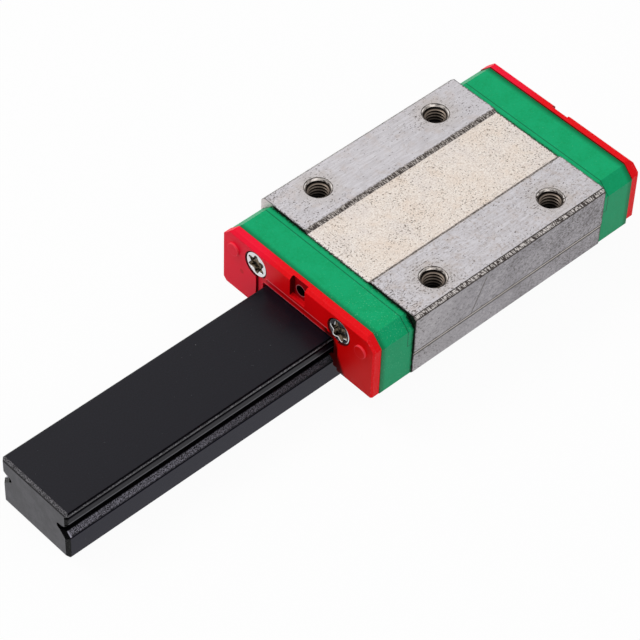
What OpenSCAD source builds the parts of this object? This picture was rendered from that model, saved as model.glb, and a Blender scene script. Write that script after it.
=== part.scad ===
// Miniature linear guide carriage on a short plastic dummy rail.
// A ground steel block runs on two closed circuits of balls. Each end has an inner
// ball return plate, an end cap and an end seal, held by two screws.
// Millimetres. X runs along the rail, Y across it, Z up. The origin is on the rail's
// base, under the middle of the carriage. The rail sticks out towards -X, the front.

/* [Steel block] */
// Width of the block
block_w = 27; // [26.6:0.1:29]
// Length of the block, without the end parts
block_l = 32.4; // [30:0.1:40]
// Height of the mounting face above the rail's base
carriage_top = 13; // [12.8:0.1:14]
// Clearance under the block
block_clear = 3; // [2.6:0.1:3.3]
// Chamfer along the top outer edges
top_chamfer = 0.55; // [0.3:0.05:0.8]
// Chamfer along the bottom outer edges
bottom_chamfer = 0.5; // [0.3:0.05:0.8]
// Width of the recess between the two ground lands
recess_w = 11.5; // [9:0.1:12.5]
// Depth of the recess
recess_d = 0.35; // [0.2:0.05:0.5]
// Width of the recess's sloping walls
recess_wall = 0.5; // [0.2:0.05:0.8]
// Height of the unground strip at the foot of each side face
relief_h = 3.8; // [3:0.1:5]
// How far that strip is set back from the ground side face
relief_d = 0.08; // [0.04:0.01:0.15]
// Running gap between the block's channel and the rail's sides
channel_gap = 0.5; // [0.4:0.05:0.6]
// Running gap between the block's channel and the rail's top
channel_top_gap = 0.55; // [0.4:0.05:0.7]
// Corner radius of the channel's roof
channel_r = 0.5; // [0.3:0.05:0.8]

/* [Mounting holes] */
// Hole spacing along the rail
hole_pitch_x = 20; // [18:0.5:21]
// Hole spacing across the rail
hole_pitch_y = 20; // [19:0.1:21]
// Thread diameter of the mounting holes
thread_d = 3; // [2.5:0.1:3.2]
// Depth of the threaded length
thread_l = 4; // [3:0.1:4.3]
// Depth of the plain drilled length below the thread
drill_l = 0.7; // [0.4:0.1:0.9]
// Radial height of the thread, from its root to its crest
thread_h = 0.25; // [0.15:0.01:0.3]
// Drop of the drilled point at the bottom of each hole
drill_tip = 0.75; // [0.4:0.05:0.9]
// Width of the countersink around each hole
hole_chamfer = 0.33; // [0.2:0.01:0.4]

/* [Dummy rail] */
// Length of the dummy rail
rail_l = 85; // [80:1:100]
// Length of rail in front of the carriage
rail_exposed = 40.3; // [30:0.1:45]
// Width of the rail's body
rail_w = 11.8; // [11:0.1:12.4]
// Height of the rail
rail_h = 7.8; // [7.5:0.1:8.1]
// Height of the middle of the rail's grooves
groove_z = 4.9; // [4.85:0.05:5]
// How far the head is set in from the body's side
head_inset = 0.1; // [0:0.01:0.2]
// Radius along the head's top edges
head_r = 0.35; // [0.2:0.05:0.5]
// Height of the head's lower corner above the middle of the groove
head_lip = 0.85; // [0.8:0.05:1]
// Size of the chamfer at the shoulder below the groove
shoulder_chamfer = 0.6; // [0.4:0.05:0.8]
// Depth of the shoulder below the middle of the groove
shoulder_drop = 0.65; // [0.6:0.05:0.75]
// Depth of the slot's mouth from the rail's side
slot_mouth = 1; // [0.9:0.05:1.1]
// Depth of the slot for the ball retaining wire, from the rail's side
slot_depth = 1.85; // [1.5:0.05:1.9]
// Height of that slot
slot_h = 0.85; // [0.65:0.05:0.9]
// Chamfer around both ends of the rail
end_chamfer = 0.45; // [0.2:0.05:0.6]
// Chamfer along the rail's bottom edges
base_chamfer = 0.25; // [0.1:0.05:0.4]

/* [Ball circuits] */
// Ball diameter
ball_d = 2.381; // [2.25:0.001:2.4]
// Smallest gap between two balls
ball_gap = 0.03; // [0.02:0.01:0.06]
// Running gap between the balls and their tracks
track_gap = 0.05; // [0.04:0.01:0.07]
// Height of the loaded rows above the rail's base
row_z = 4.9; // [4.85:0.01:5]
// Distance of the loaded rows' centres from the rail's side
row_out = 0.65; // [0.6:0.01:0.75]
// Distance across the rail from a loaded row to its return bore
return_dy = 3.5; // [3.4:0.05:3.8]
// Height of the return bore above the loaded row
return_dz = 0.85; // [0.6:0.05:1]
// Width of the return plate's ball guides
guide_w = 2.3; // [2:0.05:2.4]
// Gap around the ball guides in the cap
guide_gap = 0.02; // [0.01:0.01:0.04]
// Diameter of the ball retaining wires
wire_d = 0.5; // [0.4:0.05:0.55]
// Gap between the wires and the balls, and around their ends
wire_gap = 0.04; // [0.03:0.01:0.06]
// Bend radius of the wires' middle line
wire_bend = 0.5; // [0.4:0.05:0.7]
// Depth of the wires' bent ends in the caps
wire_hook = 1.2; // [0.8:0.1:1.6]
// Distance of the wires' bent ends from the caps' outer faces
wire_inset = 0.7; // [0.6:0.05:0.75]

/* [End caps] */
// Length of each end cap along the rail, with its return plate
cap_l = 5.2; // [5.1:0.1:6]
// Thickness of the return plate
plate_t = 0.9; // [0.86:0.01:1.1]
// How far the cap's sides are set in from the block's
cap_side = 0.26; // [0.1:0.01:0.4]
// How far the cap's top lies below the mounting face
cap_drop = 0.4; // [0.2:0.05:0.6]
// How far the cap's bottom lies above the block's
cap_lift = 0.45; // [0.3:0.05:0.5]
// Chamfer at the cap's top corners
cap_chamfer = 1.55; // [1:0.05:2]
// Height of the cap's skirts, which hide the foot of the return plate
skirt_h = 5.15; // [4.5:0.05:5.5]
// Thickness of the skirts
skirt_t = 1.04; // [0.8:0.01:1.2]
// Corner radius between one skirt and the return plate
skirt_r = 0.6; // [0.2:0.05:0.8]
// Gap between the rail and the plastic end parts
cap_gap = 0.6; // [0.5:0.05:0.8]
// Width and depth of the lubrication grooves inside the cap
lube_groove = 0.7; // [0.5:0.05:0.8]

/* [End seals] */
// Thickness of each end seal
seal_t = 1.3; // [1.2:0.05:1.6]
// How far the seal's sides are set in from the cap's
seal_side = 0.05; // [0:0.01:0.15]
// How far the seal's top stands above the cap's
seal_rise = 0.2; // [0:0.05:0.3]
// Chamfer at the seal's top corners
seal_chamfer = 1.56; // [1:0.05:2]
// Bevel of the seal's outer face, at its top
seal_bevel = 0.42; // [0.2:0.02:0.5]
// Bevel of the seal's outer face, at its sides
seal_side_bevel = 0.2; // [0.1:0.02:0.3]
// Chamfer of the seal's one cut bottom corner
seal_foot = 0.7; // [0.3:0.05:0.9]
// Gap between the seal's lips and the rail
lip_gap = 0.12; // [0.08:0.01:0.2]
// Gap between the seal's opening and the rail's sides
head_gap = 0.35; // [0.3:0.05:0.5]
// Reach of the seal's lips into the rail's grooves, from the rail's side
lip_reach = 0.4; // [0.2:0.05:0.5]
// Height of those lips at their root
lip_h = 1.3; // [1:0.05:1.4]
// Width of the rebate beside the rail in the outer face
rebate_side = 1.3; // [0.9:0.05:1.4]
// Height of the rebate's corner steps above the rail's top
rebate_step = 1.15; // [0.9:0.05:1.2]
// Width of those corner steps
rebate_step_w = 1.9; // [1.5:0.1:2.2]
// Height of the rebate above the rail's top
rebate_top = 1.45; // [1.3:0.05:1.5]
// Depth of the rebate
rebate_d = 0.3; // [0.2:0.02:0.4]
// Width of the notch around the lubrication hole
notch_w = 2.6; // [2.2:0.1:3]
// Height of the notch
notch_h = 3; // [2.8:0.1:3.2]
// Depth of the notch
notch_d = 0.65; // [0.5:0.05:0.85]
// Depth of the lubrication hole's centre below the mounting face
lube_drop = 1.9; // [1.8:0.05:2.1]
// Diameter of the lubrication hole
lube_d = 1.4; // [1:0.1:1.6]
// Spacing of the two moulded pins
pin_pitch = 22.2; // [21.4:0.1:22.4]
// Depth of the pins' centres below the mounting face
pin_drop = 2.9; // [2.6:0.1:3.2]
// Diameter of the moulded pins
pin_d = 1.8; // [1.4:0.1:2]
// Height of the moulded pins
pin_h = 0.3; // [0.2:0.05:0.4]

/* [End screws] */
// Spacing of the two screws
screw_pitch = 14.5; // [14.4:0.1:15]
// Depth of the screws' centres below the mounting face
screw_drop = 2.7; // [2.6:0.05:3]
// Thread diameter
screw_d = 2; // [1.6:0.1:2.1]
// Length under the head
screw_l = 8; // [7:0.1:8.5]
// Depth of the tapped holes in the block
screw_hole_l = 5; // [4.5:0.1:5]
// Head diameter
screw_head_d = 3.5; // [3.2:0.1:3.6]
// Thickness of the seal under the heads
screw_seat = 0.3; // [0.2:0.05:0.4]
// How far the heads lie below the seal's outer face
screw_sink = 0.06; // [0.02:0.02:0.2]
// Radial gap around the heads
screw_head_gap = 0.1; // [0.05:0.01:0.15]
// Radial gap around the shanks
screw_gap = 0.02; // [0.01:0.01:0.05]
// Distance across the recess's lobes
socket_d = 2.5; // [2:0.1:2.5]
// Diameter of each lobe
lobe_d = 0.6; // [0.5:0.05:0.7]
// Depth of the recess
socket_depth = 0.6; // [0.4:0.05:0.65]

/* [Hidden] */

$fn = 48;
// Overshoot of a cutting shape past the face that it cuts
cut = 1;

// Places along the rail
block_x = block_l / 2;
plate_x = block_x + plate_t;
cap_x = block_x + cap_l;
seal_x = cap_x + seal_t;
rail_x0 = -seal_x - rail_exposed;
rail_x1 = rail_x0 + rail_l;

// Places in the cross-section
rail_side = rail_w / 2;
head_side = rail_side - head_inset;
shoulder_z = groove_z - shoulder_drop;
slot_y = rail_side - slot_depth + slot_h / 2;
block_side = block_w / 2;
relief_side = block_side - relief_d;
relief_z = block_clear + relief_h;
channel_side = rail_side + channel_gap;
channel_z = rail_h + channel_top_gap;
cap_half = block_side - cap_side;
cap_top = carriage_top - cap_drop;
cap_foot = block_clear + cap_lift;
cap_channel_side = rail_side + cap_gap;
cap_channel_z = rail_h + cap_gap;
skirt_z = cap_foot + skirt_h;
skirt_y = cap_half - skirt_t;
seal_half = cap_half - seal_side;
seal_top = cap_top + seal_rise;
opening_side = rail_side + head_gap;
screw_y = screw_pitch / 2;
screw_z = carriage_top - screw_drop;
seat_x = cap_x + screw_seat;
head_x = seal_x - screw_sink;
lube_z = carriage_top - lube_drop;
lube_y = screw_y + screw_d;
lube_run_z = (screw_z + screw_d / 2 + cap_top) / 2;
drill_r = thread_d / 2 - thread_h;

// Ball circuits. A turn lies in the plane of a loaded row and its return bore.
ball_r = ball_d / 2;
track_r = ball_r + track_gap;
row_y = rail_side + row_out;
return_y = row_y + return_dy;
return_z = row_z + return_dz;
turn_r = norm([return_dy, return_dz]) / 2;
turn_tilt = atan2(return_dz, return_dy);
turn_x = plate_x;
ball_pitch = ball_d + ball_gap;

// Two balls sit in each turn, just clear of each other
turn_step = asin(ball_pitch / 2 / turn_r);
turn_ball_out = turn_r * cos(turn_step);
turn_ball_side = turn_r * sin(turn_step);

// Each row ends where its last ball just clears the first ball of the turn
row_reach = sqrt(ball_pitch ^ 2 - (turn_r - turn_ball_side) ^ 2);
row_end = turn_x + turn_ball_out - row_reach;
row_steps = floor(2 * row_end / ball_pitch);

// The wires lie inside the loaded rows, in the rail's slots
wire_y = row_y - ball_r - wire_gap - wire_d / 2;
wire_x = cap_x - wire_inset;
wire_end_y = cap_channel_side + wire_hook;

// Draws a cross-section, with Y to the right and Z up, from x0 to x1
module along(x0, x1) {
  translate([x0, 0, 0]) rotate([90, 0, 90]) linear_extrude(x1 - x0) children();
}

// Turns a rear part half round to the front end
module at_front() {
  rotate([0, 0, 180]) children();
}

// Mirrors a left part to the right side
module on_right() {
  mirror([0, 1, 0]) children();
}

module both_sides() {
  children();
  on_right() children();
}

// Closes a half outline, given from the bottom up, by its mirror image
module mirrored_outline(half) {
  last = len(half) - 1;
  polygon(concat(half, [for (i = [last:-1:0]) [-half[i][0], half[i][1]]]));
}

// A channel open at the bottom, with rounded roof corners
module channel_outline(side, roof, r) {
  translate([-side, 0]) square([2 * side, roof - r]);
  translate([r - side, 0]) square([2 * (side - r), roof]);
  for (y = [r - side, side - r]) translate([y, roof - r]) circle(r);
}

// A cylinder along X with its middle line at y and z
module x_rod(x0, x1, y, z, r) {
  translate([x0, y, z]) rotate([0, 90, 0]) cylinder(h = x1 - x0, r = r);
}

// Moves a shape from the turn's own plane to the left rear ball turn
module turn_place() {
  translate([turn_x, (row_y + return_y) / 2, (row_z + return_z) / 2])
    rotate([turn_tilt, 0, 0]) rotate([0, 0, -90]) children();
}

// The left rear ball turn as a hollow
module turn_tunnel() {
  turn_place() rotate_extrude(angle = 180) translate([turn_r, 0]) circle(track_r);
}

// The half-round middle of the turn, grown by a gap
module turn_core(gap) {
  turn_place() rotate_extrude(angle = 180)
    translate([0, -guide_w / 2 - gap]) square([turn_r, guide_w + 2 * gap]);
}

// The ball's straight ways between x0 and x1, on the left side
module straight_ways(x0, x1) {
  x_rod(x0, x1, row_y, row_z, track_r);
  x_rod(x0, x1, return_y, return_z, track_r);
}

module rail_outline() {
  difference() {
    union() {
      mirrored_outline([
        [rail_side - base_chamfer, 0],
        [rail_side, base_chamfer],
        [rail_side, shoulder_z - shoulder_chamfer],
        [rail_side - shoulder_chamfer, shoulder_z],
        [rail_side - slot_mouth, groove_z - slot_h / 2],
        [slot_y, groove_z - slot_h / 2],
        [slot_y, groove_z + slot_h / 2],
        [rail_side - slot_mouth, groove_z + slot_h / 2],
        [head_side, groove_z + head_lip],
        [head_side, rail_h - head_r],
        [head_side - head_r, rail_h]
      ]);
      for (s = [-1, 1]) translate([s * (head_side - head_r), rail_h - head_r]) circle(head_r);
    }
    for (s = [-1, 1]) {
      translate([s * slot_y, groove_z]) circle(slot_h / 2);
      translate([s * row_y, row_z]) circle(track_r);
    }
  }
}

// The rail's length in one view, with chamfered ends
module rail_end_cut(low, high) {
  polygon([
    [rail_x0, low + end_chamfer], [rail_x0 + end_chamfer, low],
    [rail_x1 - end_chamfer, low], [rail_x1, low + end_chamfer],
    [rail_x1, high - end_chamfer], [rail_x1 - end_chamfer, high],
    [rail_x0 + end_chamfer, high], [rail_x0, high - end_chamfer]
  ]);
}

// Carries the front end's chamfer along the left shoulder and into its slot
module shoulder_end_cut() {
  below = 0.5;
  above = 0.3;
  reach = slot_depth - 0.15;
  translate([rail_x0, rail_side, shoulder_z - shoulder_chamfer]) rotate([45, 0, 0])
    translate([0, 0, -below]) linear_extrude(below + reach) polygon([
      [-cut, -end_chamfer - cut], [end_chamfer + above, above], [-cut, above]
    ]);
}

module dummy_rail() {
  color("#2c2c31") difference() {
    intersection() {
      along(rail_x0, rail_x1) rail_outline();
      translate([0, rail_w, 0]) rotate([90, 0, 0]) linear_extrude(2 * rail_w)
        rail_end_cut(0, rail_h);
      translate([0, 0, -cut]) linear_extrude(rail_h + 2 * cut)
        rail_end_cut(-rail_side, rail_side);
    }
    both_sides() {
      shoulder_end_cut();
      translate([rail_x0 + rail_x1, 0, 0]) mirror([1, 0, 0]) shoulder_end_cut();
    }
  }
}

module block_outline() {
  floor_z = carriage_top - recess_d;
  recess_side = recess_w / 2;
  difference() {
    mirrored_outline([
      [relief_side - bottom_chamfer, block_clear],
      [relief_side, block_clear + bottom_chamfer],
      [relief_side, relief_z],
      [block_side, relief_z + relief_d],
      [block_side, carriage_top - top_chamfer],
      [block_side - top_chamfer, carriage_top],
      [recess_side, carriage_top],
      [recess_side - recess_wall, floor_z]
    ]);
    channel_outline(channel_side, channel_z, channel_r);
    for (s = [-1, 1]) translate([s * row_y, row_z]) circle(track_r);
  }
}

// One tapped mounting hole, with its mouth at the origin
module mounting_hole() {
  translate([0, 0, -thread_l]) cylinder(h = thread_l + cut, d = thread_d);
  translate([0, 0, -thread_l - drill_l]) cylinder(h = drill_l + cut, r = drill_r);
  translate([0, 0, -thread_l - drill_l - drill_tip])
    cylinder(h = drill_tip, r1 = 0, r2 = drill_r);
  translate([0, 0, -hole_chamfer])
    cylinder(h = 2 * hole_chamfer, d1 = thread_d, d2 = thread_d + 4 * hole_chamfer);
}

module carriage_block() {
  color("#bdbcc2") difference() {
    along(-block_x, block_x) block_outline();
    both_sides() x_rod(-block_x - cut, block_x + cut, return_y, return_z, track_r);
    for (x = [-hole_pitch_x / 2, hole_pitch_x / 2], y = [-hole_pitch_y / 2, hole_pitch_y / 2])
      translate([x, y, carriage_top]) mounting_hole();
    both_sides() {
      x_rod(block_x - screw_hole_l, block_x + cut, screw_y, screw_z, screw_d / 2 + screw_gap);
      x_rod(-block_x - cut, screw_hole_l - block_x, screw_y, screw_z, screw_d / 2 + screw_gap);
    }
  }
}

module cap_outline() {
  difference() {
    mirrored_outline([
      [cap_half, cap_foot],
      [cap_half, cap_top - cap_chamfer],
      [cap_half - cap_chamfer, cap_top]
    ]);
    channel_outline(cap_channel_side, cap_channel_z, channel_r);
  }
}

// The cap's skirts beside the foot of the return plate. Only one plate corner is round.
module skirts() {
  corner_x = plate_x - skirt_r;
  both_sides() translate([block_x, skirt_y, 0]) cube([plate_t, skirt_t + cut, skirt_z]);
  on_right() difference() {
    translate([corner_x, skirt_y, skirt_z - skirt_r]) cube([skirt_r, skirt_t + cut, 2 * skirt_r]);
    translate([corner_x, skirt_y - cut, skirt_z + skirt_r]) rotate([-90, 0, 0])
      cylinder(h = skirt_t + 3 * cut, r = skirt_r);
  }
}

module return_plate() {
  color("#22a86c") {
    difference() {
      along(block_x, plate_x) cap_outline();
      skirts();
      both_sides() {
        straight_ways(block_x - cut, plate_x + cut);
        x_rod(block_x - cut, plate_x + cut, screw_y, screw_z, screw_d / 2 + screw_gap);
      }
    }
    both_sides() difference() {
      turn_core(0);
      turn_tunnel();
      translate([plate_x - cut, -cut, 0]) cube([cap_l, cap_channel_side + cut, carriage_top]);
    }
  }
}

// The grooves that lead oil from the lubrication bore to the two ball turns
module lube_grooves() {
  half = lube_groove / 2;
  x0 = plate_x - cut;
  depth = lube_groove + cut;
  translate([x0, -half, lube_z]) cube([depth, lube_groove, lube_run_z - lube_z]);
  translate([x0, -lube_y - half, lube_run_z - half])
    cube([depth, 2 * lube_y + lube_groove, lube_groove]);
  both_sides() translate([x0, lube_y - half, return_z])
    cube([depth, lube_groove, lube_run_z - return_z]);
}

// The hole that the wire's bent end sits in, on the left side
module wire_hole() {
  translate([wire_x, wire_y, groove_z]) rotate([-90, 0, 0])
    cylinder(h = wire_end_y - wire_y + wire_gap, r = wire_d / 2 + wire_gap);
}

module end_cap() {
  color("#22a86c") difference() {
    union() {
      along(plate_x, cap_x) cap_outline();
      intersection() {
        along(block_x, plate_x) cap_outline();
        skirts();
      }
    }
    both_sides() {
      turn_tunnel();
      turn_core(guide_gap);
      wire_hole();
      x_rod(plate_x - cut, cap_x + cut, screw_y, screw_z, screw_d / 2 + screw_gap);
    }
    x_rod(plate_x - cut, cap_x + cut, 0, lube_z, lube_d / 2);
    lube_grooves();
  }
}

// The seal's plate, with one bottom corner cut off
module seal_outline() {
  polygon([
    [seal_half, cap_foot],
    [seal_half, seal_top - seal_chamfer],
    [seal_half - seal_chamfer, seal_top],
    [seal_chamfer - seal_half, seal_top],
    [-seal_half, seal_top - seal_chamfer],
    [-seal_half, cap_foot + seal_foot],
    [seal_foot - seal_half, cap_foot]
  ]);
}

// The opening around the rail, with a pointed lip in each of its grooves
module seal_opening() {
  difference() {
    channel_outline(opening_side, rail_h + lip_gap, head_r);
    for (s = [-1, 1]) polygon([
      [s * (opening_side + cut), groove_z - lip_h / 2],
      [s * opening_side, groove_z - lip_h / 2],
      [s * (rail_side - lip_reach), groove_z],
      [s * opening_side, groove_z + lip_h / 2],
      [s * (opening_side + cut), groove_z + lip_h / 2]
    ]);
  }
}

// The stepped rebate in the outer face
module rebate_outline() {
  side = rail_side + rebate_side;
  inner = side - rebate_step_w;
  translate([-side, 0]) square([2 * side, rail_h + rebate_step]);
  translate([-inner, 0]) square([2 * inner, rail_h + rebate_top]);
}

module end_seal() {
  bevel_x = seal_x - seal_bevel;
  side_bevel_x = seal_x - seal_side_bevel;
  bevel_y = seal_half - seal_side_bevel;
  color("#d8152a") difference() {
    union() {
      intersection() {
        along(cap_x, seal_x) seal_outline();
        translate([0, block_w, 0]) rotate([90, 0, 0]) linear_extrude(2 * block_w) polygon([
          [cap_x, 0], [seal_x, 0], [seal_x, seal_top - seal_bevel],
          [bevel_x, seal_top], [cap_x, seal_top]
        ]);
        linear_extrude(carriage_top) polygon([
          [cap_x, -seal_half], [side_bevel_x, -seal_half], [seal_x, -bevel_y],
          [seal_x, bevel_y], [side_bevel_x, seal_half], [cap_x, seal_half]
        ]);
      }
      both_sides()
        x_rod(cap_x, seal_x + pin_h, pin_pitch / 2, carriage_top - pin_drop, pin_d / 2);
    }
    along(cap_x - cut, seal_x + cut) seal_opening();
    along(seal_x - rebate_d, seal_x + cut) rebate_outline();
    translate([seal_x - notch_d, -notch_w / 2, seal_top - notch_h])
      cube([notch_d + cut, notch_w, notch_h + cut]);
    x_rod(cap_x - cut, seal_x + cut, 0, lube_z, lube_d / 2);
    both_sides() {
      x_rod(cap_x - cut, seat_x + cut, screw_y, screw_z, screw_d / 2 + screw_gap);
      x_rod(seat_x, seal_x + cut, screw_y, screw_z, screw_head_d / 2 + screw_head_gap);
    }
  }
}

// The screw's six-lobe recess
module socket_outline() {
  lobe_place = (socket_d - lobe_d) / 2;
  circle(lobe_place);
  for (i = [0:5]) rotate(60 * i) translate([lobe_place, 0]) circle(lobe_d / 2);
}

// The left rear screw
module cap_screw() {
  color("#8d8f94") difference() {
    union() {
      x_rod(seat_x - screw_l, head_x - socket_depth, screw_y, screw_z, screw_d / 2);
      x_rod(seat_x, head_x, screw_y, screw_z, screw_head_d / 2);
    }
    translate([0, screw_y, screw_z]) along(head_x - socket_depth, head_x + cut) socket_outline();
  }
}

// One straight row of balls, with its middle line at y and z
module ball_row(y, z) {
  color("#d5d7db") for (i = [0:row_steps])
    translate([row_end * (2 * i / row_steps - 1), y, z]) sphere(ball_r);
}

// The two balls in the left rear turn
module turn_balls() {
  color("#d5d7db") turn_place() for (s = [-1, 1])
    translate([s * turn_ball_side, turn_ball_out, 0]) sphere(ball_r);
}

// Half of the left retaining wire, from its middle to its bent rear end
module half_wire() {
  x_rod(0, wire_x - wire_bend, wire_y, groove_z, wire_d / 2);
  translate([wire_x - wire_bend, wire_y + wire_bend, groove_z])
    rotate([0, 0, -90]) rotate_extrude(angle = 90) translate([wire_bend, 0]) circle(wire_d / 2);
  translate([wire_x, wire_y + wire_bend, groove_z]) rotate([-90, 0, 0])
    cylinder(h = wire_end_y - wire_y - wire_bend, d = wire_d);
}

module ball_wire() {
  color("#9b9da3") {
    half_wire();
    mirror([1, 0, 0]) half_wire();
  }
}

module end_cap_front() { at_front() end_cap(); }
module end_cap_rear() { end_cap(); }
module return_plate_front() { at_front() return_plate(); }
module return_plate_rear() { return_plate(); }
module end_seal_front() { at_front() end_seal(); }
module end_seal_rear() { end_seal(); }
module cap_screw_front_left() { at_front() on_right() cap_screw(); }
module cap_screw_front_right() { at_front() cap_screw(); }
module cap_screw_rear_left() { cap_screw(); }
module cap_screw_rear_right() { on_right() cap_screw(); }
module load_balls_left() { ball_row(row_y, row_z); }
module load_balls_right() { ball_row(-row_y, row_z); }
module return_balls_left() { ball_row(return_y, return_z); }
module return_balls_right() { ball_row(-return_y, return_z); }
module turn_balls_front_left() { at_front() on_right() turn_balls(); }
module turn_balls_front_right() { at_front() turn_balls(); }
module turn_balls_rear_left() { turn_balls(); }
module turn_balls_rear_right() { on_right() turn_balls(); }
module ball_wire_left() { ball_wire(); }
module ball_wire_right() { on_right() ball_wire(); }

dummy_rail();
carriage_block();
end_cap_front();
end_cap_rear();
return_plate_front();
return_plate_rear();
end_seal_front();
end_seal_rear();
cap_screw_front_left();
cap_screw_front_right();
cap_screw_rear_left();
cap_screw_rear_right();
load_balls_left();
load_balls_right();
return_balls_left();
return_balls_right();
turn_balls_front_left();
turn_balls_front_right();
turn_balls_rear_left();
turn_balls_rear_right();
ball_wire_left();
ball_wire_right();
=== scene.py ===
import math

import bmesh
import bpy
from mathutils import Matrix, Vector


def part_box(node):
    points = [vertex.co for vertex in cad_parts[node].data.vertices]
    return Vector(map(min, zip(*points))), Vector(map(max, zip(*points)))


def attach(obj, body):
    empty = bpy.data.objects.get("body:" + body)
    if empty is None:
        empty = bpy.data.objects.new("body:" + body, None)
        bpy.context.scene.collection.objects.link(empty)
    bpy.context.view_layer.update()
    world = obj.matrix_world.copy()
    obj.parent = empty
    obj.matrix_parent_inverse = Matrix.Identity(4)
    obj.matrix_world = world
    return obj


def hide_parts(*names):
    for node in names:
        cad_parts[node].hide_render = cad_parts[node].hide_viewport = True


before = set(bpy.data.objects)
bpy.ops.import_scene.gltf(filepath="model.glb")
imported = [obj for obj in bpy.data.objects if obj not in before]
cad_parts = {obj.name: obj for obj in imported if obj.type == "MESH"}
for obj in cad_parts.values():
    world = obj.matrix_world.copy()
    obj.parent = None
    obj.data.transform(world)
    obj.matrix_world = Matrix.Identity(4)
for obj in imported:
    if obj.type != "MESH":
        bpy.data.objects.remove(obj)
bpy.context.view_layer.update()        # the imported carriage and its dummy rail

# Lengths here are in millimetres, and a finished piece is brought to metres
MM = 0.001


def box_mm(node):
    """Lowest and highest corner of a CAD node, in millimetres."""
    low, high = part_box(node)
    return Vector(low) / MM, Vector(high) / MM


block_high = box_mm("carriage_block")[1]
rail_low, rail_high = box_mm("dummy_rail")
seal_low, seal_high = box_mm("end_seal_rear")
screw_low, screw_high = box_mm("cap_screw_rear_left")

# Block
TOP = block_high.z
BLOCK_HALF = block_high.y
BLOCK_END = block_high.x
HOLE_PITCH = 20.0
HOLE_R = 1.5
HOLE_MOUTH_R = 1.83
HOLE_MOUTH_DEPTH = 0.33
HOLE_FOOT = 7.0
THREAD_PITCH = 0.5
THREAD_DEPTH = 4.0
THREAD_HEIGHT = 0.25
RECESS_HALF = 5.75
RECESS_WALL = 0.5
TOP_CHAMFER = 0.55
RELIEF_TOP = 6.8
SCRATCH_X = -5.6
SCRATCH_Z = 9.25
SCRATCH_LEAN = math.radians(25.08)

# Rail
RAIL_FRONT = rail_low.x
RAIL_END_CHAMFER = 0.45
RAIL_SIDE = rail_high.y
RAIL_TOP = rail_high.z
SHOULDER_LOW = 3.65
SHOULDER_TOP = 4.25
HEAD_LOW = 5.75

# End parts
CAP_SEAM_X = 17.1
CAP_SEAM_LOW = 8.6
SEAL_BACK = seal_low.x
PIN_HEIGHT = 0.3
SEAL_FACE = seal_high.x - PIN_HEIGHT
NOTCH_HALF = 1.3
NOTCH_LOW = 9.8
LUBE_Z = 11.1
LUBE_R = 0.7
REBATE_HALF = 7.2
REBATE_INNER = 5.3
REBATE_TOP = 9.25
PIN_Y = 11.1
PIN_Z = 10.1
PIN_R = 0.9
GATE_Y = 9.7
GATE_Z = 7.3
SCREW_Y = (screw_low.y + screw_high.y) / 2
SCREW_Z = (screw_low.z + screw_high.z) / 2
SCREW_FACE = screw_high.x
SCREW_LENGTH = screw_high.x - screw_low.x
SCREW_HEAD_R = (screw_high.z - screw_low.z) / 2
SCREW_HEAD_H = 0.94
SCREW_SHANK_R = 1.0
SOCKET_R = 1.42
SOCKET_WAVE = 0.24
SOCKET_DEPTH = 0.6
SOCKET_LOBES = 6
SCREW_FACETS = 72

# Meshes
MERGE_DISTANCE = 0.002
SHARP_ANGLE = 28
SCREW_SHARP_ANGLE = 25
THREAD_STEPS = 28
THREAD_START = math.radians(225)

# Camera, found from the photograph
AZIMUTH = math.radians(-44.664)
ELEVATION = math.radians(47.352)
ROLL = math.radians(2.361)
CAMERA_SIDE = -13.56
CAMERA_RISE = -6.68
CAMERA_DISTANCE = 359.15
FOCAL_PIXELS = 2873.0
IMAGE_PIXELS = 640
SENSOR = 36.0
NEAREST = 0.01        # metres

# Studio
FLOOR_REACH = 3.0     # metres
FLOOR_DROP = 0.02
PAPER_GLOW = 0.95
SKY_LIGHT = 0.6


def make_camera():
    """The photograph's own camera."""
    back = Vector((
        math.sin(AZIMUTH) * math.cos(ELEVATION),
        -math.cos(AZIMUTH) * math.cos(ELEVATION),
        math.sin(ELEVATION),
    ))
    level_right = Vector((0, 0, 1)).cross(back).normalized()
    level_up = back.cross(level_right)
    right = math.cos(ROLL) * level_right + math.sin(ROLL) * level_up
    up = math.cos(ROLL) * level_up - math.sin(ROLL) * level_right
    place = CAMERA_SIDE * right + CAMERA_RISE * up + CAMERA_DISTANCE * back
    data = bpy.data.cameras.new("camera")
    data.sensor_width = SENSOR
    data.lens = SENSOR * FOCAL_PIXELS / IMAGE_PIXELS
    data.clip_start = NEAREST
    camera = bpy.data.objects.new("camera", data)
    bpy.context.scene.collection.objects.link(camera)
    turn = Matrix((right, up, back)).transposed().to_4x4()
    camera.matrix_world = Matrix.Translation(place * MM) @ turn
    bpy.context.scene.camera = camera


class Value:
    """A number in a finish's node tree. Maths on it adds nodes."""

    def __init__(self, finish, socket):
        self.finish = finish
        self.socket = socket

    def __add__(self, other):
        return self.finish.maths("ADD", self, other)

    def __sub__(self, other):
        return self.finish.maths("SUBTRACT", self, other)

    def __rsub__(self, other):
        return self.finish.maths("SUBTRACT", other, self)

    def __mul__(self, other):
        return self.finish.maths("MULTIPLY", self, other)

    __radd__ = __add__
    __rmul__ = __mul__

    def __abs__(self):
        return self.finish.maths("ABSOLUTE", self)

    def higher(self, other):
        return self.finish.maths("MAXIMUM", self, other)


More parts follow.
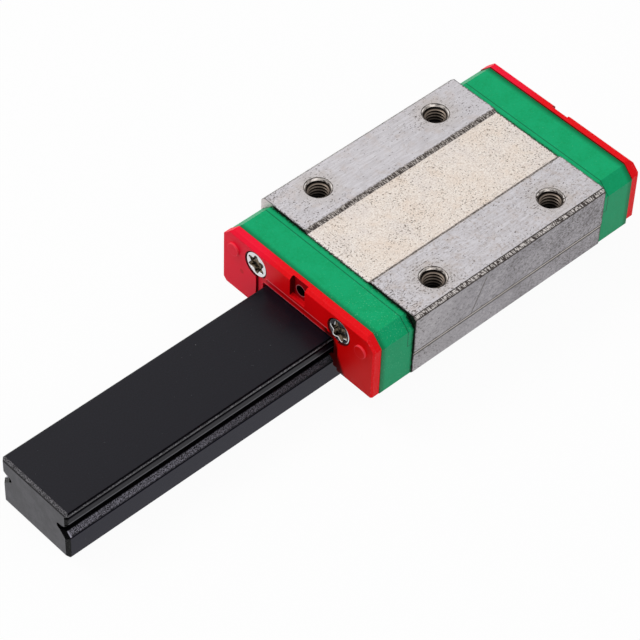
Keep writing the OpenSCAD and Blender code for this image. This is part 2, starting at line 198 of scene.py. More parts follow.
class Finish:
    """One surface finish: a material, and the few ways its nodes are made."""

    def __init__(self, tree):
        self.tree = tree
        tree.nodes.clear()

    def node(self, kind, settings=(), inputs=(), output=0):
        """Adds a node: its settings first, then its sockets' values or links."""
        made = self.tree.nodes.new("ShaderNode" + kind)
        for name, setting in dict(settings).items():
            setattr(made, name, setting)
        for name, value in dict(inputs).items():
            if isinstance(value, Value):
                self.tree.links.new(value.socket, made.inputs[name])
            else:
                made.inputs[name].default_value = value
        return Value(self, made.outputs[output]) if made.outputs else made

    def maths(self, operation, *values):
        return self.node("Math", {"operation": operation}, dict(enumerate(values)))

    def distance(self, first, second):
        """Distance from an axis, from two offsets across it."""
        return self.maths("SQRT", first * first + second * second)

    def vectors(self, operation, *values):
        return self.node("VectorMath", {"operation": operation}, dict(enumerate(values)))

    def place(self):
        """Place on the piece, in millimetres."""
        return self.vectors("MULTIPLY", self.node("TexCoord", output="Object"), (1 / MM,) * 3)

    def parts(self, vector):
        """The three numbers of a vector."""
        split = self.node("SeparateXYZ", (), {0: vector}).socket.node
        return [Value(self, socket) for socket in split.outputs]

    def facing(self):
        """How much a surface faces along X, Y and Z, without sign."""
        return [abs(part) for part in self.parts(self.node("TexCoord", output="Normal"))]

    def rise(self, value, low, high):
        """0 below low, 1 above high, and smooth between them."""
        span = {"Value": value, "From Min": low, "From Max": high}
        return self.node("MapRange", {"interpolation_type": "SMOOTHSTEP"}, span)

    def fall(self, value, low, high):
        """1 below low, 0 above high, and smooth between them."""
        return 1 - self.rise(value, low, high)

    def band(self, value, low, high, soft=0.03):
        """1 between low and high, with soft edges."""
        return self.rise(value, low - soft, low + soft) * self.fall(value, high - soft, high + soft)

    def between(self, factor, first, second):
        """A number between two numbers."""
        return self.node("MapRange", (), {"Value": factor, "To Min": first, "To Max": second})

    def noise(self, place, scale, stretch=(1, 1, 1), detail=3.0, roughness=0.6):
        """Cloudy noise, scale to the millimetre and finer where stretch is larger."""
        settled = self.vectors("MULTIPLY", place, tuple(scale * part for part in stretch))
        look = {"Vector": settled, "Scale": 1.0, "Detail": detail, "Roughness": roughness}
        return self.node("TexNoise", (), look)

    def mix(self, factor, first, second):
        """The first colour where the factor is 0, and the second where it is 1."""
        colours = {0: factor, 6: first, 7: second}
        return self.node("Mix", {"data_type": "RGBA"}, colours, output=2)

    def bump(self, height, depth):
        """A fine relief, depth millimetres for a height of 1."""
        return self.node("Bump", (), {"Height": height, "Distance": depth * MM})

    def surface(self, **sockets):
        """Ends the tree in one shader, with its sockets by name."""
        named = {name.replace("_", " "): value for name, value in sockets.items()}
        shader = self.node("BsdfPrincipled", (), named)
        self.node("OutputMaterial", (), {"Surface": shader})


def new_finish(name):
    """An empty material, and the Finish that fills it."""
    material = bpy.data.materials.new(name)
    material.use_nodes = True
    return material, Finish(material.node_tree)


def tone(red, green, blue):
    """A screen colour from 0 to 255, as light."""
    return tuple((part / 255) ** 2.2 for part in (red, green, blue)) + (1.0,)


def ground_steel():
    """The block: ground lands and sides, a plain recess, hatched chamfers and dark ends."""
    material, f = new_finish("ground_steel")
    place = f.place()
    x, y, z = f.parts(place)
    face_x, face_y, face_z = f.facing()
    side = abs(y)
    along = abs(x)

    # Where each ground or rough surface lies
    top = f.rise(face_z, 0.9, 0.97)
    recess = top * f.fall(side, RECESS_HALF - 0.04, RECESS_HALF + 0.04) * f.rise(z, TOP - 1.0, TOP - 0.8)
    end = f.rise(face_x, 0.8, 0.95)
    flank = f.rise(face_y, 0.8, 0.9).higher(f.rise(face_y, 0.3, 0.4) * f.fall(z, TOP - 2, TOP - 1.9))
    hole_x = along - HOLE_PITCH / 2
    hole_y = side - HOLE_PITCH / 2
    hole_r = f.distance(hole_x, hole_y)
    hole = f.fall(hole_r, HOLE_MOUTH_R - 0.03, HOLE_MOUTH_R + 0.01) * f.rise(z, HOLE_FOOT, HOLE_FOOT + 0.1)

    # Grinding marks run along the block, with dark pits among them
    marks = f.rise(f.noise(place, 1.0, (0.6, 5.5, 5.5), 4.0, 0.7), 0.32, 0.68)
    cloud = f.noise(place, 0.25)
    stains = f.rise(f.noise(place, 0.55), 0.5, 0.72)
    near_front = f.fall(x, 0.5 - BLOCK_END, 5 - BLOCK_END)
    near_hole = f.fall(hole_r, 1.8, 4.0)
    pit_level = 0.63 - 0.06 * near_front - 0.035 * near_hole + 0.2 * (0.5 - cloud)
    pit_level = pit_level - 0.015 * f.fall(y, -1, 1)
    pit_field = f.noise(place, 1.0, (3.2, 5.6, 5.6))
    pits = f.rise(pit_field - pit_level, 0.0, 0.05)

    land = f.mix(marks, tone(184, 180, 183), tone(204, 201, 205))
    land = f.mix(stains * 0.35, land, tone(186, 172, 164))
    land = f.mix(near_hole * 0.25, land, tone(172, 160, 144))
    scuffs = f.rise(f.noise(place, 2.2, detail=5.0, roughness=0.8), 0.51, 0.64)
    scuffs = scuffs * f.between(f.fall(y, -1, 1), 0.12, 0.5)
    land = f.mix(scuffs, land, tone(142, 128, 118))
    land = f.mix(pits * 0.85, land, tone(84, 76, 71))

    # The recess is left plain: pale, warm, faintly patchy and full of specks
    grain = f.noise(place, 5.0, detail=4.0, roughness=0.7)
    speck_field = f.noise(place, 4.2)
    specks = f.rise(speck_field + 0.22 * (cloud - 0.5), 0.605, 0.65)
    warm = f.mix(f.rise(grain, 0.35, 0.65), tone(212, 198, 187), tone(241, 233, 225))
    warm = f.mix(stains * 0.35, warm, tone(226, 206, 188))
    patches = f.noise(place, 0.17)
    warm = f.mix(f.rise(patches, 0.48, 0.66) * 0.24, warm, tone(226, 204, 184))
    warm = f.mix(f.fall(patches, 0.36, 0.5) * 0.3, warm, tone(216, 208, 206))
    warm = f.mix(specks * 0.8, warm, tone(92, 74, 58))
    blots = f.rise(f.noise(place, 1.7), 0.65, 0.71)
    warm = f.mix(blots * 0.55, warm, tone(120, 104, 84))
    lip = f.rise(0.6 * (grain - 0.5) - x, BLOCK_END - 0.65, BLOCK_END - 0.55)
    warm = f.mix(lip * 0.5, warm, tone(240, 232, 226))
    warm = f.mix(lip * f.rise(speck_field, 0.56, 0.62) * 0.7, warm, tone(62, 54, 50))

    # The ground sides are sandy, lighter near the front and more pitted at the rear
    sand = f.rise(f.noise(place, 1.0, (3, 5, 5), 4.0, 0.75), 0.34, 0.66)
    flank_colour = f.mix(sand, tone(132, 129, 133), tone(174, 170, 174))
    darker = f.rise(cloud, 0.4, 0.65) * 0.4 + f.rise(x, -10, 14) * 0.1
    flank_colour = f.mix(darker, flank_colour, tone(126, 123, 127))
    flank_colour = f.mix(f.fall(x, -15, -5) * 0.35, flank_colour, tone(188, 184, 186))
    flank_pits = f.rise(pit_field - pit_level + 0.08 * f.rise(x, -8, 10), 0.0, 0.05)
    flank_colour = f.mix(flank_pits * 0.75, flank_colour, tone(78, 72, 70))

    # Painted shade lines above and below a painted highlight line run along the side where the ground part
    # ends
    upper_shade_line = f.band(z, RELIEF_TOP + 0.08, RELIEF_TOP + 0.27)
    lower_shade_line = f.band(z, RELIEF_TOP - 0.42, RELIEF_TOP - 0.2)
    highlight_line = f.band(z, RELIEF_TOP - 0.17, RELIEF_TOP + 0.06)
    broken = f.between(f.noise(place, 1.5), 0.6, 1.3)
    flank_colour = f.mix(upper_shade_line.higher(lower_shade_line) * broken, flank_colour, tone(46, 39, 36))
    flank_colour = f.mix(highlight_line * 0.75, flank_colour, tone(222, 212, 202))
    scratch = math.cos(SCRATCH_LEAN) * (x - SCRATCH_X) - math.sin(SCRATCH_LEAN) * (z - SCRATCH_Z)
    scratch = f.fall(abs(scratch), 0.05, 0.12) * f.band(z, 6.95, 11.9, 0.2) * f.fall(y, -1, 0)
    flank_colour = f.mix(scratch * 0.8, flank_colour, tone(76, 68, 62))

    # Chamfers carry slanted tool marks between two dark edges
    slant = f.node("CombineXYZ", (), {0: x * 8 + z * 5, 1: y * 2, 2: z * 2})
    tick_field = f.noise(slant, 1.0, detail=2.0)
    ticks = f.rise(tick_field, 0.46, 0.58)
    hatch = f.mix(ticks, tone(70, 64, 62), tone(202, 196, 193))
    across = side - z - (BLOCK_HALF - TOP_CHAMFER - TOP) + 0.2 * (tick_field - 0.5)
    edges = f.rise(side, BLOCK_HALF - 1, BLOCK_HALF - 0.9)
    edges = edges * (1 - f.band(across, 0.2, 2 * TOP_CHAMFER - 0.24, 0.06))
    hatch = f.mix(edges * 0.85, hatch, tone(52, 47, 45))

    # The walls of the recess are patchy, and the left one frays into it
    inner = f.fall(side, RECESS_HALF + RECESS_WALL + 0.1, RECESS_HALF + RECESS_WALL + 0.2)
    chips = f.noise(place, 4.2, detail=4.0, roughness=0.75)
    patchy = f.mix(f.rise(chips + 0.3 * (ticks - 0.5), 0.5, 0.66), tone(74, 68, 65), tone(178, 170, 164))
    hatch = f.mix(inner * 0.85, hatch, patchy)
    frayed = side + 0.8 * (chips - 0.5)
    frayed = f.band(frayed, RECESS_HALF - RECESS_WALL + 0.12, RECESS_HALF + 0.1, 0.05) * f.rise(y, 0, 1)

    # The end faces are dark, partly blackened and partly painted shade, and their burrs break the edge of
    # the ground face
    end_colour = f.mix(f.rise(pit_field, 0.4, 0.7), tone(24, 23, 23), tone(62, 58, 57))
    bare_corner = f.rise(side, BLOCK_HALF - 2.3, BLOCK_HALF - 1.8) * f.rise(y, 0, 1)
    end_colour = f.mix(bare_corner, end_colour, tone(214, 204, 204))
    burr = f.rise(along + 0.9 * (chips - 0.5), BLOCK_END - 0.16, BLOCK_END - 0.08)

    # Painted shade darkens the threads' roots and the wall deeper down; the mouth is brighter, with a
    # painted highlight ring, painted reflection streaks on its far side and a dark outer line
    crest = f.fall(hole_r, HOLE_R - 0.2, HOLE_R - 0.06)
    depth_light = f.rise(z, TOP - 2.9, TOP - 0.4)
    wall = f.mix(crest, tone(24, 19, 16), tone(124, 112, 102))
    wall = f.mix(depth_light, tone(12, 10, 9), wall)
    mouth = f.rise(z, TOP - HOLE_MOUTH_DEPTH - 0.02, TOP - HOLE_MOUTH_DEPTH + 0.04) * hole
    worn = f.noise(place, 1.1)
    rim = f.mix(f.rise(worn, 0.4, 0.6), tone(74, 66, 60), tone(142, 132, 124))
    far_x = x - f.maths("SIGN", x) * (HOLE_PITCH / 2)
    far_y = y - f.maths("SIGN", y) * (HOLE_PITCH / 2)
    far = f.rise(far_x + far_y, 0.5, 1.7)
    reflection_streaks = f.rise(f.noise(place, 1.0, (1.2, 1.2, 11)), 0.42, 0.58)
    rim = f.mix(far, rim, f.mix(reflection_streaks, tone(44, 37, 33), tone(178, 170, 164)))
    highlight_rim = f.band(hole_r + 0.1 * (worn - 0.5), HOLE_R + 0.12, HOLE_R + 0.24, 0.03)
    highlight_rim = highlight_rim * f.rise(worn, 0.34, 0.44) * (1 - 0.8 * far)
    rim = f.mix(highlight_rim, rim, tone(236, 230, 226))
    rim = f.mix(f.rise(hole_r, HOLE_MOUTH_R - 0.08, HOLE_MOUTH_R - 0.04), rim, tone(56, 50, 46))
    wall = f.mix(mouth, wall, rim)

    colour = f.mix(top, hatch, land)
    colour = f.mix(flank, colour, flank_colour)
    colour = f.mix(recess, colour, warm)
    colour = f.mix(frayed * top * 0.9, colour, f.mix(chips, tone(60, 54, 50), tone(130, 122, 116)))
    colour = f.mix(burr * 0.8, colour, tone(58, 52, 50))
    colour = f.mix(end, colour, end_colour)
    colour = f.mix(hole, colour, wall)

    rough_height = recess * (grain - 0.6 * specks)
    ground_height = (1 - recess) * (1 - hole) * (marks * 0.25 - pits * 0.6)
    f.surface(
        Base_Color=colour,
        Metallic=f.between(recess, 0.9, 0.25),
        Roughness=f.between(recess, 0.42, 0.62) - mouth * 0.15,
        Normal=f.bump(rough_height + ground_height, 0.03),
    )
    return material


def green_plastic():
    """The moulded end caps and return plates."""
    material, f = new_finish("green_plastic")
    place = f.place()
    x, y, z = f.parts(place)
    face_y = f.facing()[1]
    along = abs(x)
    grain = f.noise(place, 5.0)
    cloud = f.noise(place, 0.5)
    colour = f.mix(f.rise(cloud, 0.35, 0.65), tone(12, 156, 97), tone(20, 164, 106))
    mottle = f.rise(f.noise(place, 3.0, detail=5.0, roughness=0.75), 0.36, 0.64)
    colour = f.mix(mottle * 0.6, colour, tone(20, 172, 114))
    # Painted shade: faces turned sideways are darker
    colour = f.mix(f.rise(face_y, 0.6, 0.85) * 0.55, colour, tone(0, 144, 100))

    # The seams round the return plate are thin and dark; painted shade darkens the green beside the seal and
    # the steel, and a darker painted shade line runs right beside the steel
    seam = f.band(along, CAP_SEAM_X - 0.06, CAP_SEAM_X + 0.06) * f.rise(z, CAP_SEAM_LOW - 0.05, CAP_SEAM_LOW)
    step = f.band(z, CAP_SEAM_LOW - 0.06, CAP_SEAM_LOW + 0.06) * f.fall(along, CAP_SEAM_X, CAP_SEAM_X + 0.05)
    colour = f.mix(seam.higher(step) * 0.75, colour, tone(8, 74, 48))
    shade = f.rise(along, SEAL_BACK - 0.95, SEAL_BACK - 0.15)
    shade = shade.higher(f.fall(along, BLOCK_END + 0.05, BLOCK_END + 0.5))
    colour = f.mix(shade * 0.7, colour, tone(10, 96, 54))
    steel_gap_shade = f.fall(along + 0.3 * (mottle - 0.5), BLOCK_END + 0.04, BLOCK_END + 0.2)
    colour = f.mix(steel_gap_shade * 0.85, colour, tone(5, 34, 19))
    # Painted shade fills the lubrication bore
    bore = f.distance(y, z - LUBE_Z)
    colour = f.mix(f.fall(bore, LUBE_R, LUBE_R + 0.05), colour, tone(12, 16, 14))

    # Fine dust lies near the front right corner
    dusty = f.rise(y * -1, -2, 8) * f.fall(x, -10, 0)
    dust = f.rise(f.noise(place, 5.5) + 0.07 * dusty, 0.67, 0.75)
    colour = f.mix(dust * 0.4, colour, tone(110, 205, 160))
    f.surface(
        Base_Color=colour,
        Roughness=f.between(grain, 0.3, 0.5),
        Specular_IOR_Level=0.1,
        Normal=f.bump(grain, 0.012),
    )
    return material


def red_plastic():
    """The moulded end seals."""
    material, f = new_finish("red_plastic")
    place = f.place()
    x, y, z = f.parts(place)
    face_x, _, face_z = f.facing()
    along = abs(x)
    side = abs(y)
    grain = f.noise(place, 4.5, detail=4.0, roughness=0.7)
    rough_part = f.fall(face_x, 0.85, 0.95)
    colour = f.mix(f.noise(place, 0.6), tone(228, 2, 12), tone(238, 8, 22))
    # Painted sheen: paler and pinker towards the left, a deeper red without sheen towards the right
    colour = f.mix(f.rise(y, 2, 8), colour, tone(246, 20, 54))
    colour = f.mix(f.rise(y * -1, 3, 7) * (1 - rough_part), colour, tone(212, 0, 8))
    colour = f.mix(rough_part * f.rise(grain, 0.35, 0.7) * 0.2, colour, tone(244, 50, 64))
    # Painted glints sparkle on the rough right side near the face
    glints = f.rise(f.noise(place, 5.5), 0.54, 0.64) * rough_part * f.rise(y * -1, 11.4, 12.4)
    glints = glints * f.rise(along, SEAL_FACE - 0.5, SEAL_FACE - 0.4)
    colour = f.mix(glints * 0.22, colour, tone(255, 120, 130))
    # Painted shade along the seal's back edge against the cap
    back_edge_shade = f.fall(along, SEAL_BACK, SEAL_BACK + 0.12)
    colour = f.mix(back_edge_shade * 0.7, colour, tone(60, 10, 12))

    # Painted shade darkens the notch, most on its left wall, and fills the lubrication hole, which a pale
    # painted highlight rings
    upright = f.fall(face_z, 0.5, 0.7)
    sunk = f.fall(along, SEAL_FACE - 0.12, SEAL_FACE - 0.04)
    notch = f.fall(side, NOTCH_HALF + 0.02, NOTCH_HALF + 0.06) * f.rise(z, NOTCH_LOW - 0.04, NOTCH_LOW)
    notch = notch * sunk * upright
    colour = f.mix(notch * 0.7, colour, tone(100, 4, 20))
    shaded_left_wall = notch * f.rise(y, NOTCH_HALF - 0.5, NOTCH_HALF - 0.1) * f.fall(x, -1, 1)
    colour = f.mix(shaded_left_wall * 0.8, colour, tone(44, 0, 4))
    bore = f.distance(y, z - LUBE_Z)
    colour = f.mix(f.band(bore, LUBE_R + 0.02, LUBE_R + 0.16) * notch * 0.4, colour, tone(214, 150, 160))
    colour = f.mix(f.fall(bore, LUBE_R + 0.02, LUBE_R + 0.06), colour, tone(22, 4, 6))

    # A moulding gate's mark lies below one pin, and the pins' rims carry a pale painted highlight
    turned_y = y * f.maths("SIGN", x) * -1
    gate = f.fall(f.distance(turned_y - GATE_Y, z - GATE_Z), 0.25, 0.4) * upright
    colour = f.mix(gate * 0.6, colour, tone(206, 0, 8))
    pin_r = f.distance(side - PIN_Y, z - PIN_Z)
    pin_rim_highlight = f.band(pin_r, PIN_R - 0.08, PIN_R + 0.06) * f.rise(along, SEAL_FACE + 0.02, SEAL_FACE + 0.06)
    colour = f.mix(pin_rim_highlight * 0.5, colour, tone(250, 90, 104))

    # Painted shade darkens the rebate round the rail up in its corner and at its left wall, between two pale
    # painted highlight lines
    rebate = f.fall(side, REBATE_HALF, REBATE_HALF + 0.04) * f.fall(z, REBATE_TOP, REBATE_TOP + 0.04)
    rebate = rebate * sunk * upright
    colour = f.mix(rebate * f.rise(z, RAIL_TOP + 0.5, RAIL_TOP + 0.7) * 0.35, colour, tone(140, 0, 8))
    foot_highlight = f.band(z, RAIL_TOP + 0.1, RAIL_TOP + 0.3) * f.fall(side, RAIL_SIDE, RAIL_SIDE + 0.1)
    colour = f.mix(rebate * foot_highlight * 0.6, colour, tone(250, 120, 134))
    colour = f.mix(rebate * f.rise(y, REBATE_HALF - 0.25, REBATE_HALF - 0.1) * 0.9, colour, tone(90, 0, 4))
    edge_highlight = f.band(z, REBATE_TOP - 0.02, REBATE_TOP + 0.16) * f.fall(side, REBATE_INNER, REBATE_INNER + 0.1)
    colour = f.mix(edge_highlight * 0.7, colour, tone(250, 120, 130))

    # The rail's painted shadow leans away on the right, and painted shade darkens the screws' wells
    shadow_edge = side + 0.48 * (z - 7.3)
    shadow = f.fall(shadow_edge, 6.4, 7.1) * f.fall(z, 8.9, 9.1) * f.rise(y * -1, 4, 5)
    colour = f.mix(shadow * 0.92, colour, tone(34, 0, 3))
    screw_r = f.distance(side - SCREW_Y, z - SCREW_Z)
    shaded_well = f.fall(screw_r, SCREW_HEAD_R + 0.15, SCREW_HEAD_R + 0.2)
    colour = f.mix(shaded_well * 0.85, colour, tone(40, 0, 4))
    f.surface(
        Base_Color=colour,
        Roughness=f.between(grain, 0.34, 0.5),
        Specular_IOR_Level=0.09,
        Normal=f.bump(grain * f.between(rough_part, 0.3, 1.0), 0.03),
    )
    return material


def black_plastic():
    """The moulded dummy rail."""
    material, f = new_finish("black_plastic")
    place = f.place()
    x, _, z = f.parts(place)
    face_x, face_y, face_z = f.facing()
    flat = face_x.higher(face_y).higher(face_z)
    slope = f.fall(flat, 0.93, 0.97)
    end = f.rise(face_x, 0.9, 0.97)
    flank = f.rise(face_y, 0.9, 0.97)

    grain = f.noise(place, 5.0)
    fleck_field = f.noise(place, 1.0, (8, 6, 6), 3.0, 0.8)
    flecks = f.rise(fleck_field, 0.36, 0.64)
    colour = f.mix(f.rise(grain, 0.3, 0.7), tone(16, 15, 23), tone(22, 21, 30))
    # The end faces are a lighter, cloudy grey
    end_grey = f.mix(f.rise(f.noise(place, 0.8), 0.35, 0.65), tone(52, 51, 57), tone(68, 67, 73))
    colour = f.mix(end, colour, end_grey)

    # The shoulder below the groove and the front edge are coarse and catch the light in painted highlight
    # flecks, which dim towards the carriage in painted shade
    shoulder = slope * f.band(z, SHOULDER_LOW - 0.02, SHOULDER_TOP + 0.02) * f.rise(face_y, 0.3, 0.4)
    sharp_flecks = f.rise(fleck_field, 0.43, 0.58)
    shaded_fleck_tone = f.mix(f.rise(x, -52, -26), tone(142, 140, 152), tone(88, 86, 94))
    colour = f.mix(shoulder, colour, f.mix(sharp_flecks, tone(26, 25, 31), shaded_fleck_tone))
    low_flank = flank * f.fall(z, SHOULDER_LOW - 0.05, SHOULDER_LOW + 0.05)
    colour = f.mix(low_flank, colour, tone(17, 16, 35))
    # Painted shade: a dark line under the shoulder
    under_shoulder_shade = f.band(z, SHOULDER_LOW - 0.2, SHOULDER_LOW + 0.1, 0.08) * f.rise(face_y, 0.3, 0.4)
    colour = f.mix(under_shoulder_shade * 0.8, colour, tone(8, 8, 10))
    front_edge = slope * f.fall(face_y, 0.15, 0.3)
    colour = f.mix(front_edge, colour, f.mix(sharp_flecks, tone(34, 33, 36), tone(118, 116, 120)))
    low_line = front_edge * f.fall(x, RAIL_FRONT + 0.1, RAIL_FRONT + 0.16)
    colour = f.mix(low_line * 0.9, colour, tone(20, 19, 21))
    corner = slope * f.fall(face_z, 0.15, 0.3)
    colour = f.mix(corner, colour, tone(12, 12, 13))
    bright_x = RAIL_FRONT + RAIL_END_CHAMFER
    facet = slope * f.fall(x, bright_x - 0.02, bright_x + 0.02) * f.band(z, SHOULDER_LOW - 0.7, HEAD_LOW)
    colour = f.mix(facet, colour, tone(14, 14, 15))
    # Painted highlight on the shoulder's front end
    shoulder_end_highlight = shoulder * f.band(x, bright_x + 0.02, bright_x + 0.2)
    colour = f.mix(shoulder_end_highlight * 0.9, colour, tone(176, 174, 188))

    # The head has an upper edge of painted dotted highlights between two dark lines, and a painted highlight
    # line low on its side
    facing_side = f.rise(face_y, 0.3, 0.5)
    head_edge = f.rise(z, RAIL_TOP - 0.2, RAIL_TOP - 0.14) * slope
    head_edge = head_edge.higher(f.band(z, RAIL_TOP - 0.85, RAIL_TOP - 0.44, 0.05) * 0.85) * facing_side
    colour = f.mix(head_edge * 0.8, colour, tone(8, 8, 9))
    dotted_highlights = f.rise(fleck_field, 0.47, 0.56) * f.band(z, RAIL_TOP - 0.44, RAIL_TOP - 0.2) * facing_side
    dotted_highlights = dotted_highlights * f.between(f.rise(f.noise(place, 1.8), 0.42, 0.6), 0.3, 0.95)
    colour = f.mix(dotted_highlights, colour, tone(148, 146, 151))
    low_highlight_line = f.band(z, HEAD_LOW + 0.26, HEAD_LOW + 0.4, 0.04)
    colour = f.mix(low_highlight_line * flank * 0.8, colour, tone(96, 96, 101))
    # Painted shade fills the groove
    shaded_groove = f.band(z, SHOULDER_TOP, HEAD_LOW + 0.2, 0.05) * f.fall(face_x, 0.8, 0.9)
    colour = f.mix(shaded_groove, colour, tone(9, 9, 10))

    # The metallic part holds the shine down where the plastic is blackest, much of it painted shade
    head_flank = flank * f.rise(z, HEAD_LOW - 0.1, HEAD_LOW)
    black_part = shaded_groove.higher(corner).higher(facet).higher(head_edge)
    black_part = black_part.higher(under_shoulder_shade * 0.85).higher(low_flank.higher(head_flank) * 0.42)

    # Shallow dips run along the side, below the dotted edge, the head and the shoulder
    dip = f.fall(z, RAIL_TOP - 0.5, RAIL_TOP - 0.3) * f.rise(z, RAIL_TOP - 0.95, RAIL_TOP - 0.5)
    low_dip = f.fall(z, SHOULDER_LOW, SHOULDER_LOW + 0.03) * f.rise(z, SHOULDER_LOW - 0.28, SHOULDER_LOW)
    head_lip = f.fall(z, HEAD_LOW + 0.02, HEAD_LOW + 0.26)
    dips = (dip * 8 + low_dip * 6 - head_lip * 5) * facing_side
    dust = f.rise(f.noise(place, 3.0), 0.73, 0.77)
    colour = f.mix(dust * 0.5, colour, tone(130, 130, 134))
    f.surface(
        Base_Color=colour,
        Metallic=black_part,
        Roughness=f.between(grain, 0.27, 0.38),
        Specular_IOR_Level=0.2,
        Normal=f.bump(grain * 0.3 + flecks * slope - dips, 0.03),
    )
    return material


def screw_steel():
    """Bright pan faces, with painted shade and painted glints in the socket."""
    material, f = new_finish("screw_steel")
    place = f.place()
    x, y, z = f.parts(place)
    radius = f.distance(abs(y) - SCREW_Y, z - SCREW_Z)
    depth = SCREW_FACE - abs(x)
    grain = f.noise(place, 5.0)
    colour = f.mix(grain, tone(196, 196, 198), tone(232, 232, 234))
    pocket = f.fall(radius, SOCKET_R + 0.05, SOCKET_R + 0.1) * f.rise(depth, 0.03, 0.1)
    # Painted shade with painted glints fills the socket
    socket_shade_and_glints = f.mix(f.rise(f.noise(place, 1.8), 0.44, 0.62), tone(26, 20, 16), tone(170, 152, 130))
    colour = f.mix(pocket, colour, socket_shade_and_glints)
    f.surface(
        Base_Color=colour,
        Metallic=1 - pocket,
        Roughness=f.between(grain, 0.08, 0.16),
        Normal=f.bump(grain, 0.006),
    )
    return material


def bright_steel(name, dark, light, roughness):
    """Polished steel, for the balls and the wires."""
    material, f = new_finish(name)
    grain = f.noise(f.place(), 4.0)
    f.surface(
        Base_Color=f.mix(grain, dark, light),
        Metallic=1.0,
        Roughness=f.between(grain, roughness, roughness + 0.12),
        Normal=f.bump(grain, 0.004),
    )
    return material


def finished(bm, name, body, material, node=None):
    """Makes a bmesh a piece of the model, riding on a body."""
    mesh = bpy.data.meshes.new(name)
    bm.to_mesh(mesh)
    bm.free()
    mesh.materials.append(material)
    piece = bpy.data.objects.new(name, mesh)
    bpy.context.scene.collection.objects.link(piece)
    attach(piece, body)
    if node:
        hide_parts(node)
    return piece


def smoothed(bm, angle):
    """Shades a bmesh smooth, apart from edges sharper than an angle in degrees."""
    for face in bm.faces:
        face.smooth = True
    for edge in bm.edges:
        edge.smooth = edge.is_manifold and edge.calc_face_angle() < math.radians(angle)


def cad_copy(node):
    """A whole copy of a CAD node, its loose triangles merged to flat faces."""
    bm = bmesh.new()
    bm.from_mesh(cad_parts[node].data)
    bmesh.ops.remove_doubles(bm, verts=bm.verts, dist=MERGE_DISTANCE * MM)
    bmesh.ops.dissolve_limit(bm, angle_limit=math.radians(1), verts=bm.verts, edges=bm.edges)
    smoothed(bm, SHARP_ANGLE)
    return bm


def dressed(node, material, body, width):
    """A CAD node with its sharp edges softened."""
    piece = finished(cad_copy(node), node + "_dressed", body, material, node)
    bevel = piece.modifiers.new("soft_edges", "BEVEL")
    bevel.width = width * MM
    bevel.segments = 2
    bevel.limit_method = "ANGLE"
    bevel.angle_limit = math.radians(SHARP_ANGLE)
    bevel.harden_normals = True
    return piece


def thread_ridges(material):
    """The thread of the four mounting holes, one ridge wound down each wall."""
    bm = bmesh.new()
    turns = (THREAD_DEPTH - HOLE_MOUTH_DEPTH - THREAD_PITCH) / THREAD_PITCH
    half = THREAD_PITCH * 0.42
    crest = 0.03
    start = TOP - HOLE_MOUTH_DEPTH - half + 0.05
    start_x, start_y = math.cos(THREAD_START), math.sin(THREAD_START)
    for x in (-HOLE_PITCH / 2, HOLE_PITCH / 2):
        for y in (-HOLE_PITCH / 2, HOLE_PITCH / 2):
            section = [
                (HOLE_R + crest, start + half),
                (HOLE_R - THREAD_HEIGHT, start + crest),
                (HOLE_R - THREAD_HEIGHT, start - crest),
                (HOLE_R + crest, start - half),
            ]
            points = [(x + reach * start_x, y + reach * start_y, z) for reach, z in section]
            ridge = bm.faces.new([bm.verts.new(point) for point in points])
            bmesh.ops.spin(
                bm,
                geom=[ridge],
                cent=(x, y, 0),
                axis=(0, 0, 1),
                dvec=(0, 0, -THREAD_PITCH / THREAD_STEPS),
                angle=math.tau * turns,
                steps=round(THREAD_STEPS * turns),
            )
    bmesh.ops.recalc_face_normals(bm, faces=bm.faces)
    bmesh.ops.scale(bm, vec=(MM,) * 3, verts=bm.verts)
    return finished(bm, "mounting_threads", "carriage", material)


def set_ring(verts, x, radius, wave):
    """Places a closed ring round the X axis, with lobes where it has a wave."""
    for vert in verts:
        turn = math.atan2(vert.co.z, vert.co.y)
        reach = radius + wave * math.cos(SOCKET_LOBES * turn)
        vert.co = (x, reach * math.cos(turn), reach * math.sin(turn))


def screw_shape():
    """A screw along X with its head's face at x 0 and its tip towards -X."""
    bm = bmesh.new()
    rim = 0.14
    dish = 0.14
    body_r = SOCKET_R - SOCKET_WAVE
    rings = [
        (-SOCKET_DEPTH - dish, 0.3, 0.0),
        (-SOCKET_DEPTH, body_r - 0.05, SOCKET_WAVE),
        (-0.09, body_r, SOCKET_WAVE),
        (0.0, body_r + 0.08, SOCKET_WAVE),
        (0.0, SCREW_HEAD_R - rim, 0.0),
        (-rim * 0.3, SCREW_HEAD_R - rim * 0.3, 0.0),
        (-rim, SCREW_HEAD_R, 0.0),
        (-SCREW_HEAD_H, SCREW_HEAD_R, 0.0),
        (-SCREW_HEAD_H, SCREW_SHANK_R, 0.0),
        (-SCREW_LENGTH + 0.3, SCREW_SHANK_R, 0.0),
        (-SCREW_LENGTH, SCREW_SHANK_R - 0.3, 0.0),
    ]
    across = Matrix.Rotation(math.pi / 2, 4, "Y")
    verts = bmesh.ops.create_circle(bm, segments=SCREW_FACETS, radius=1, matrix=across)["verts"]
    set_ring(verts, *rings[0])
    floor_edges = list(bm.edges)
    edges = floor_edges
    for place in rings[1:]:
        made = bmesh.ops.extrude_edge_only(bm, edges=edges)["geom"]
        verts = {part for part in made if isinstance(part, bmesh.types.BMVert)}
        edges = [edge for edge in bm.edges if verts.issuperset(edge.verts)]
        set_ring(verts, *place)
    bmesh.ops.holes_fill(bm, edges=floor_edges + edges)
    bmesh.ops.recalc_face_normals(bm, faces=bm.faces)
    smoothed(bm, SCREW_SHARP_ANGLE)
    return bm


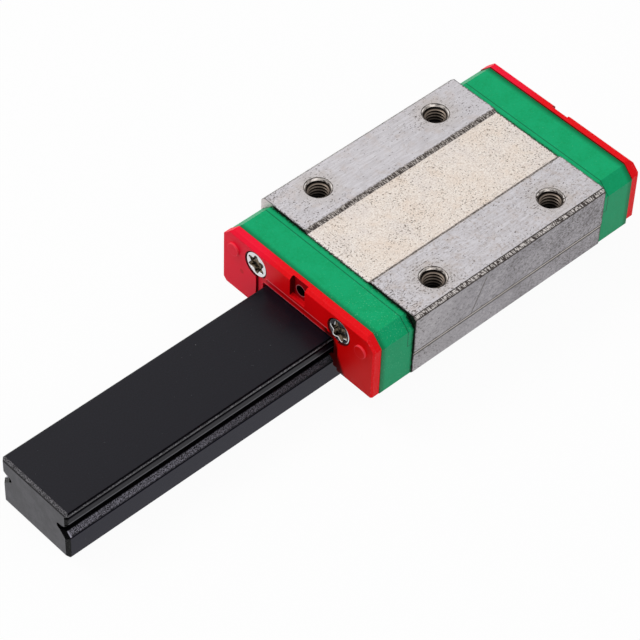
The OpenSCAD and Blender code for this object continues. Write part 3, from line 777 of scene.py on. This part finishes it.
def cap_screws(material):
    """The four end screws, each turned to its own angle."""
    for end, turned in (("front", True), ("rear", False)):
        for side, sign, turn in (("left", 1, 32), ("right", -1, -8)):
            bm = screw_shape()
            about_axis = Matrix.Rotation(math.radians(turn), 3, "X")
            bmesh.ops.rotate(bm, matrix=about_axis, verts=bm.verts)
            bmesh.ops.translate(bm, vec=(SCREW_FACE, 0, 0), verts=bm.verts)
            if turned:
                bmesh.ops.rotate(bm, matrix=Matrix.Rotation(math.pi, 3, "Z"), verts=bm.verts)
            bmesh.ops.translate(bm, vec=(0, sign * SCREW_Y, SCREW_Z), verts=bm.verts)
            bmesh.ops.scale(bm, vec=(MM,) * 3, verts=bm.verts)
            node = f"cap_screw_{end}_{side}"
            finished(bm, node + "_turned", "carriage", material, node)


def seen_by_eye(f):
    """1 for the rays that see the background, straight or in gloss and glass."""
    path = f.node("LightPath").socket.node
    names = ("Is Camera Ray", "Is Glossy Ray", "Is Transmission Ray")
    camera, gloss, glass = (Value(f, path.outputs[name]) for name in names)
    return camera.higher(gloss).higher(glass)


def make_floor():
    """White paper just under the rail, which keeps the part's shadow."""
    bm = bmesh.new()
    just_under = Matrix.Translation((0, 0, -FLOOR_DROP * MM))
    bmesh.ops.create_grid(bm, x_segments=1, y_segments=1, size=FLOOR_REACH, matrix=just_under)
    mesh = bpy.data.meshes.new("studio_floor")
    bm.to_mesh(mesh)
    bm.free()
    material, f = new_finish("studio_floor")
    matt = f.node("BsdfDiffuse", (), {"Color": (0.8, 0.8, 0.8, 1)})
    glow = f.node("Emission", (), {"Color": (1, 1, 1, 1)})
    paper = f.node("MixShader", (), {0: seen_by_eye(f) * PAPER_GLOW, 1: matt, 2: glow})
    f.node("OutputMaterial", (), {"Surface": paper})
    mesh.materials.append(material)
    floor = bpy.data.objects.new("studio_floor", mesh)
    bpy.context.scene.collection.objects.link(floor)


def make_world():
    """White to the eye, and softer as light."""
    world = bpy.data.worlds.new("studio")
    bpy.context.scene.world = world
    world.use_nodes = True
    f = Finish(world.node_tree)
    level = f.between(seen_by_eye(f), SKY_LIGHT, 1.0)
    sky = f.node("Background", (), {"Color": (1, 1, 1, 1), "Strength": level})
    f.node("OutputWorld", (), {"Surface": sky})


def make_lamp(name, place, size, power):
    """A round lamp, size in millimetres and power in watts, aimed at the part."""
    data = bpy.data.lights.new(name, "AREA")
    data.shape = "DISK"
    data.size = size * MM
    data.energy = power
    lamp = bpy.data.objects.new(name, data)
    bpy.context.scene.collection.objects.link(lamp)
    lamp.location = Vector(place) * MM
    lamp.rotation_euler = Vector(place).to_track_quat("Z", "Y").to_euler()


make_camera()
make_floor()
make_world()
make_lamp("key", place=(-110, 290, 430), size=260, power=0.95)
make_lamp("fill", place=(-60, -330, 380), size=300, power=0.3)

steel = ground_steel()
green = green_plastic()
red = red_plastic()
black = black_plastic()
screw_finish = screw_steel()
ball_finish = bright_steel("ball_steel", tone(210, 210, 214), tone(232, 232, 236), 0.06)
wire_finish = bright_steel("wire_steel", tone(150, 150, 156), tone(190, 190, 195), 0.25)

dressed("dummy_rail", black, "rail", 0.06)
dressed("carriage_block", steel, "carriage", 0.04)
for end in ("front", "rear"):
    dressed("end_cap_" + end, green, "carriage", 0.1)
    dressed("return_plate_" + end, green, "carriage", 0.04)
    dressed("end_seal_" + end, red, "carriage", 0.06)
thread_ridges(steel)
cap_screws(screw_finish)
for name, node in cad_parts.items():
    if "balls" in name or "wire" in name:
        node.data.materials.clear()
        node.data.materials.append(ball_finish if "balls" in name else wire_finish)

bpy.context.scene.view_settings.view_transform = "Standard"
